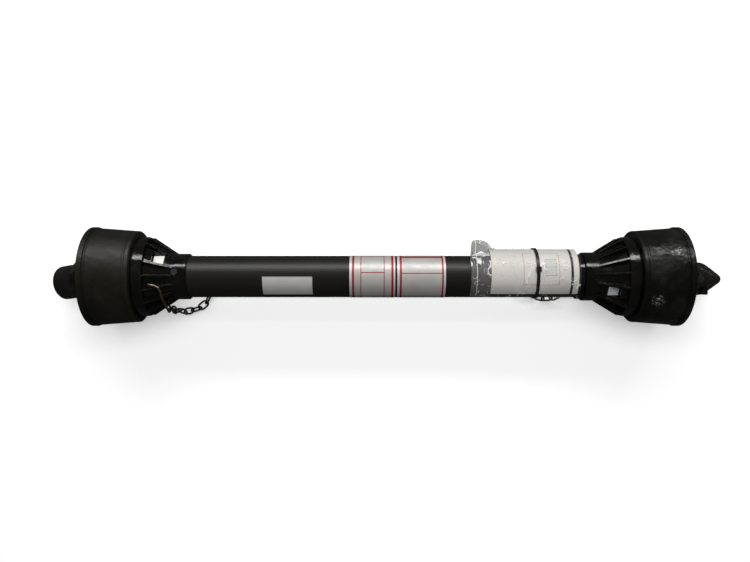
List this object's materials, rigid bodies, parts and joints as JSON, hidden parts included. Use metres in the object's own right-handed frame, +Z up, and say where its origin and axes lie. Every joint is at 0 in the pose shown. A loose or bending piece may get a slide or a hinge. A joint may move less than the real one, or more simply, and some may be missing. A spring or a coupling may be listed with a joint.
{
  "type": "telescopic PTO drive shaft with safety guard",
  "caption": "Telescopic drive shaft for a tractor power take-off: universal joint and splined push-pin yoke at each end, inside a plastic safety guard with bells and chains.",
  "frame": {"origin": "centre of the bounding box on the floor that the shaft lies on", "axes": "+X along the shaft towards the implement end, +Z up, +Y the side that the picture shows on top"},
  "size_m": [1.0258, 0.15, 0.15],
  "materials": {
    "soft_bell": "soft dark moulded plastic, dull sheen, scuffed",
    "cone_plastic": "glossy black moulded plastic",
    "tube_plastic": "extruded black plastic, satin gloss",
    "nylon_white": "white nylon",
    "nylon_grey": "light grey nylon",
    "forged_black": "black paint over forged steel",
    "bare_steel": "ground steel, lightly oiled",
    "dark_steel": "dark phosphated steel",
    "yellow_zinc": "yellow zinc plated wire",
    "chain_steel": "dulled zinc plated chain",
    "tube_steel": "drawn steel, thin grey film",
    "brass": "yellow plated nipple",
    "label_silver": "silver film with red bars",
    "tag_film": "silver white film",
    "booklet_paper": "white coated paper",
    "bag_film": "clear crumpled film",
    "tie_plastic": "black nylon strap"
  },
  "bodies": {
    "guard_tractor": {"tractor_bell": "soft_bell", "tractor_cone": "cone_plastic", "tractor_bearing_ring": "nylon_white", "tractor_collar_screws": "dark_steel", "tractor_hook": "yellow_zinc", "tractor_chain": "chain_steel", "outer_guard_tube": "tube_plastic", "tube_end_ring": "cone_plastic", "label_a": "label_silver", "label_b": "label_silver", "tag": "tag_film", "booklet": "booklet_paper", "bag": "bag_film", "cable_tie": "tie_plastic"},
    "shaft_tractor": {"tractor_inner_yoke": "forged_black", "tractor_roll_pin": "bare_steel", "tractor_inner_cups": "bare_steel", "tractor_inner_clips": "dark_steel", "male_drive_tube": "tube_steel"},
    "cross_tractor": {"tractor_cross": "bare_steel", "tractor_nipple": "brass"},
    "yoke_tractor": {"tractor_outer_yoke": "forged_black", "tractor_outer_cups": "bare_steel", "tractor_outer_clips": "dark_steel", "tractor_pin_plug": "dark_steel"},
    "pin_tractor": {"tractor_push_pin": "yellow_zinc"},
    "shaft_implement": {"implement_inner_yoke": "forged_black", "implement_roll_pin": "bare_steel", "implement_inner_cups": "bare_steel", "implement_inner_clips": "dark_steel", "female_drive_tube": "tube_steel"},
    "guard_implement": {"implement_bell": "soft_bell", "implement_cone": "cone_plastic", "implement_bearing_ring": "nylon_grey", "implement_collar_screws": "dark_steel", "implement_hook": "yellow_zinc", "implement_chain": "chain_steel", "implement_bush": "cone_plastic", "inner_guard_tube": "tube_plastic"},
    "cross_implement": {"implement_cross": "bare_steel", "implement_nipple": "brass"},
    "yoke_implement": {"implement_outer_yoke": "forged_black", "implement_outer_cups": "bare_steel", "implement_outer_clips": "dark_steel", "implement_pin_plug": "dark_steel"},
    "pin_implement": {"implement_push_pin": "yellow_zinc"}
  },
  "joints": [
    {"name": "tractor_guard_spin", "type": "hinge", "parent": "guard_tractor", "child": "shaft_tractor", "pos_m": [-0.42929, 0, 0.075], "axis": [1, 0, 0], "continuous": true},
    {"name": "tractor_cross_swing", "type": "hinge", "parent": "shaft_tractor", "child": "cross_tractor", "pos_m": [-0.42929, 0, 0.075], "axis": [0, -0.7071, 0.7071], "range_deg": [-52, 8]},
    {"name": "tractor_yoke_swing", "type": "hinge", "parent": "cross_tractor", "child": "yoke_tractor", "pos_m": [-0.42929, 0, 0.075], "axis": [-0.3746, 0.6556, 0.6556], "range_deg": [-18.6, 41.4]},
    {"name": "tractor_pin_press", "type": "slide", "parent": "yoke_tractor", "child": "pin_tractor", "axis": [-0.1312, 0.9914, 0.0009], "range_m": [0, 0.008], "stiffness_N_per_m": 1500, "springref_m": -0.003},
    {"name": "telescope", "type": "slide", "parent": "shaft_tractor", "child": "shaft_implement", "axis": [1, 0, 0], "range_m": [0, 0.34]},
    {"name": "implement_guard_spin", "type": "hinge", "parent": "shaft_implement", "child": "guard_implement", "pos_m": [0.43071, 0, 0.075], "axis": [1, 0, 0], "continuous": true},
    {"name": "implement_cross_swing", "type": "hinge", "parent": "shaft_implement", "child": "cross_implement", "pos_m": [0.43071, 0, 0.075], "axis": [0, 0.7071, 0.7071], "range_deg": [-58.2, 1.8]},
    {"name": "implement_yoke_swing", "type": "hinge", "parent": "cross_implement", "child": "yoke_implement", "pos_m": [0.43071, 0, 0.075], "axis": [0.4726, -0.6232, 0.6232], "range_deg": [-1.8, 58.2]},
    {"name": "implement_pin_press", "type": "slide", "parent": "yoke_implement", "child": "pin_implement", "axis": [0.0482, 0.9988, -0.0035], "range_m": [0, 0.008], "stiffness_N_per_m": 1500, "springref_m": -0.003}
  ]
}
